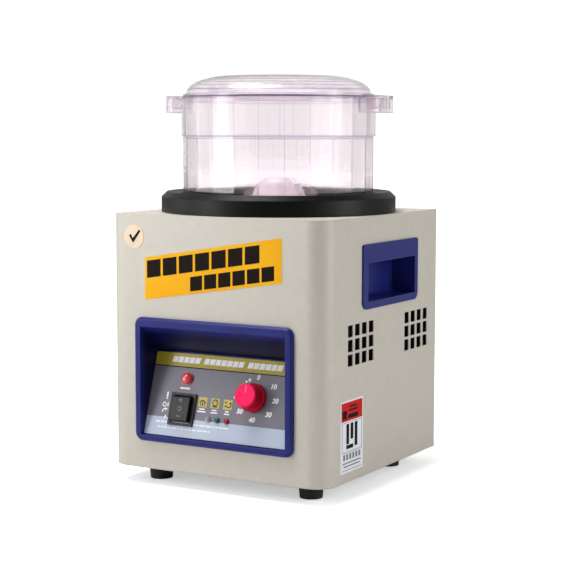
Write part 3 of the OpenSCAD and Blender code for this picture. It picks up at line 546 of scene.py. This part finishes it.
# Yellow sticker: two rows of plain dark blocks where the title was.
SLOPE = 24.1 / 151.2
blocks = []
ROWS = ((-74.0, 16.5, 15.6, 2.6, 7, 209.6), (-25.0, 13.5, 13.4, 2.2, 6, 190.0))
for left, height, wide, gap, count, z in ROWS:
    for i in range(count):
        x = left + i * (wide + gap) + wide / 2
        blocks.append(skewed(rect(x, z, wide, height), SLOPE, -76))
printed("front_blocks", on_front, blocks, INK, 0.3)

# Round sticker: a plain tick.
tick = [(-94.5, 241.5), (-92.8, 243.4), (-90.2, 239.2), (-83.0, 247.6), (-81.4, 246.0), (-90.0, 234.6)]
printed("round_tick", on_front, [tick], INK, 0.3)

# Side label: red head with plain bars, a plain block diagram, grey lines below.
printed("side_head", on_side, [rect(-68.2, 83.6, 41.6, 17.4)], RED_INK, 0.28)
printed("side_head_bars", on_side, [rect(-82.5, 81.0, 8.0, 8.0), rect(-66.0, 88.0, 15, 1.6),
                                    rect(-66.0, 84.6, 18, 1.6), rect(-66.0, 79.0, 20, 4.0)], INK, 0.36)
diagram = [rect(-76.5, 62.6, 5.4, 19), rect(-68.2, 64.6, 5.4, 15), rect(-59.9, 60.8, 5.4, 22.6),
           rect(-72.4, 50.4, 13.7, 3.6)]
printed("side_diagram", on_side, diagram, INK, 0.28)
lines = [rect(-83.5 + 6.1 * i, 41.2, 3.6, 5.6) for i in range(6)]
lines += [rect(-68.2, 73.6, 39, 0.5), rect(-68.2, 45.6, 39, 0.5), rect(-87.5, 59.6, 0.6, 27.5),
          rect(-48.9, 59.6, 0.6, 27.5)]
lines += [rect(-68.2, 35.4, 36, 1.2), rect(-68.2, 32.4, 32, 1.2), rect(-68.2, 28.8, 38, 0.5)]
printed("side_lines", on_side, lines, GREY_INK, 0.28)

# ---------------------------------------------------------------- floor, light, camera

floor_mesh = bpy.data.meshes.new("floor")
FLOOR_HALF = 9.0
corners = [(x * FLOOR_HALF, y * FLOOR_HALF, 0) for x, y in ((-1, -1), (1, -1), (1, 1), (-1, 1))]
floor_mesh.from_pydata(corners, [], [(0, 1, 2, 3)])
floor = bpy.data.objects.new("floor", floor_mesh)
bpy.context.scene.collection.objects.link(floor)
floor_mesh.materials.append(finish("floor_white", (0.7, 0.7, 0.7, 1), (0.68, 0.68, 0.68, 1), (0.7, 0.8), 3))

# Strength of the surroundings: as a lamp, in reflections in front and behind, and where looked at.
AMBIENT = 0.22
ROOM = 0.1
ROOM_BEHIND = 0.6
BACKDROP = 1.05
scene = bpy.context.scene
scene.view_settings.view_transform = "Standard"
scene.view_settings.look = "None"
world = bpy.data.worlds.new("studio")
scene.world = world
world.use_nodes = True
wt = world.node_tree


def seen_directly(tree):
    """1 for rays from the camera or through clear plastic, 0 for the rest."""
    path = tree.nodes.new("ShaderNodeLightPath")
    either = tree.nodes.new("ShaderNodeMath")
    either.operation = "MAXIMUM"
    tree.links.new(path.outputs["Is Camera Ray"], either.inputs[0])
    tree.links.new(path.outputs["Is Transmission Ray"], either.inputs[1])
    return path, either.outputs["Value"]


def backdrop(strength):
    b = wt.nodes.new("ShaderNodeBackground")
    b.inputs["Color"].default_value = (1, 1, 1, 1)
    b.inputs["Strength"].default_value = strength
    return b.outputs["Background"]


# White behind the object, soft grey as a lamp, and a dark room in reflections.
lp, direct = seen_directly(wt)
way = wt.nodes.new("ShaderNodeVectorMath")
way.operation = "DOT_PRODUCT"
wt.links.new(wt.nodes.new("ShaderNodeTexCoord").outputs["Generated"], way.inputs[0])
way.inputs[1].default_value = (-0.5, 0.866, 0)
behind = wt.nodes.new("ShaderNodeMapRange")
behind.interpolation_type = "SMOOTHSTEP"
behind.inputs["From Min"].default_value = 0.25
behind.inputs["From Max"].default_value = 0.55
wt.links.new(way.outputs["Value"], behind.inputs["Value"])
mirror = wt.nodes.new("ShaderNodeMixShader")
wt.links.new(behind.outputs["Result"], mirror.inputs["Fac"])
wt.links.new(backdrop(ROOM), mirror.inputs[1])
wt.links.new(backdrop(ROOM_BEHIND), mirror.inputs[2])
room = wt.nodes.new("ShaderNodeMixShader")
wt.links.new(lp.outputs["Is Glossy Ray"], room.inputs["Fac"])
wt.links.new(backdrop(AMBIENT), room.inputs[1])
wt.links.new(mirror.outputs["Shader"], room.inputs[2])
pick = wt.nodes.new("ShaderNodeMixShader")
wt.links.new(direct, pick.inputs["Fac"])
wt.links.new(room.outputs["Shader"], pick.inputs[1])
wt.links.new(backdrop(BACKDROP), pick.inputs[2])
wt.links.new(pick.outputs["Shader"], wt.nodes["World Output"].inputs["Surface"])

# The floor is lifted towards white where it's looked at.
FLOOR_LIFT = 0.35
fm = floor_mesh.materials[0].node_tree
fdirect = seen_directly(fm)[1]
lift = fm.nodes.new("ShaderNodeMath")
lift.operation = "MULTIPLY"
lift.inputs[1].default_value = FLOOR_LIFT
fm.links.new(fdirect, lift.inputs[0])
glow = fm.nodes.new("ShaderNodeEmission")
glow.inputs["Color"].default_value = (1, 1, 1, 1)
ring = fm.nodes.new("ShaderNodeVectorMath")
ring.operation = "LENGTH"
fm.links.new(fm.nodes["Texture Coordinate"].outputs["Object"], ring.inputs[0])
fade = fm.nodes.new("ShaderNodeMapRange")
fade.inputs["From Min"].default_value = 0.35
fade.inputs["From Max"].default_value = 1.6
fade.inputs["To Min"].default_value = 1.2
fade.inputs["To Max"].default_value = 3.0
fm.links.new(ring.outputs["Value"], fade.inputs["Value"])
fm.links.new(fade.outputs["Result"], glow.inputs["Strength"])
near = fm.nodes.new("ShaderNodeMixShader")
white = fm.nodes.new("ShaderNodeBsdfDiffuse")
white.inputs["Color"].default_value = (2.4, 2.4, 2.4, 1)
fm.links.new(fdirect, near.inputs["Fac"])
fm.links.new(fm.nodes["Principled BSDF"].outputs["BSDF"], near.inputs[1])
fm.links.new(white.outputs["BSDF"], near.inputs[2])
fmix = fm.nodes.new("ShaderNodeMixShader")
fm.links.new(lift.outputs["Value"], fmix.inputs["Fac"])
fm.links.new(near.outputs["Shader"], fmix.inputs[1])
fm.links.new(glow.outputs["Emission"], fmix.inputs[2])
fm.links.new(fmix.outputs["Shader"], fm.nodes["Material Output"].inputs["Surface"])


def area_light(name, at, toward, size, power):
    data = bpy.data.lights.new(name, "AREA")
    data.shape = "RECTANGLE"
    data.size, data.size_y = size
    data.energy = power
    o = bpy.data.objects.new(name, data)
    o.location = at
    o.rotation_euler = (Vector(toward) - Vector(at)).to_track_quat("-Z", "Y").to_euler()
    scene.collection.objects.link(o)
    return o


area_light("key_left", (-0.5, -0.7, 0.36), (0, 0, 0.18), (0.22, 0.4), 2.2)
area_light("fill_right", (1.15, 0.16, 0.45), (0, 0, 0.2), (0.35, 0.8), 4.6)
area_light("top", (-0.3, -0.4, 1.6), (0, 0, 0.3), (0.9, 0.9), 22)


def card(name, azimuth, shine):
    """A tall panel seen only in reflections. Azimuth 0 stands in front of the panel, 90 to the right."""
    a = math.radians(azimuth)
    width, height, away_by = 0.8, 1.1, 1.8
    at = (away_by * math.sin(a), -away_by * math.cos(a), 0.45)
    o = area_light(name, at, (0, 0, 0.45), (width, height), shine * math.pi * width * height)
    o.visible_diffuse = False
    o.visible_transmission = False
    o.visible_camera = False


CARDS = ((-74, 2.1), (-48, 1.9), (-21, 1.2), (84, 2.0), (110, 1.0), (134, 0.4))
for i, (azimuth, shine) in enumerate(CARDS):
    card("card_%d" % i, azimuth, shine)

AZ, EL, ROLL = math.radians(29.8189), math.radians(5.9587), math.radians(0.0757)
DIST = 1.54647
TARGET = Vector((0.012525, 0.0, 0.185878))
FOCAL = 97.287
away = Vector((math.sin(AZ) * math.cos(EL), -math.cos(AZ) * math.cos(EL), math.sin(EL)))
side = (-away).cross(Vector((0, 0, 1))).normalized()
up = side.cross(-away)
cam_x = side * math.cos(ROLL) + up * math.sin(ROLL)
cam_y = -side * math.sin(ROLL) + up * math.cos(ROLL)
cam_data = bpy.data.cameras.new("photo_camera")
cam_data.lens = FOCAL
cam_data.sensor_width = 36
cam_data.clip_end = 50
cam = bpy.data.objects.new("photo_camera", cam_data)
cam.matrix_world = Matrix((cam_x, cam_y, away)).transposed().to_4x4()
cam.matrix_world.translation = TARGET + away * DIST
scene.collection.objects.link(cam)
scene.camera = cam
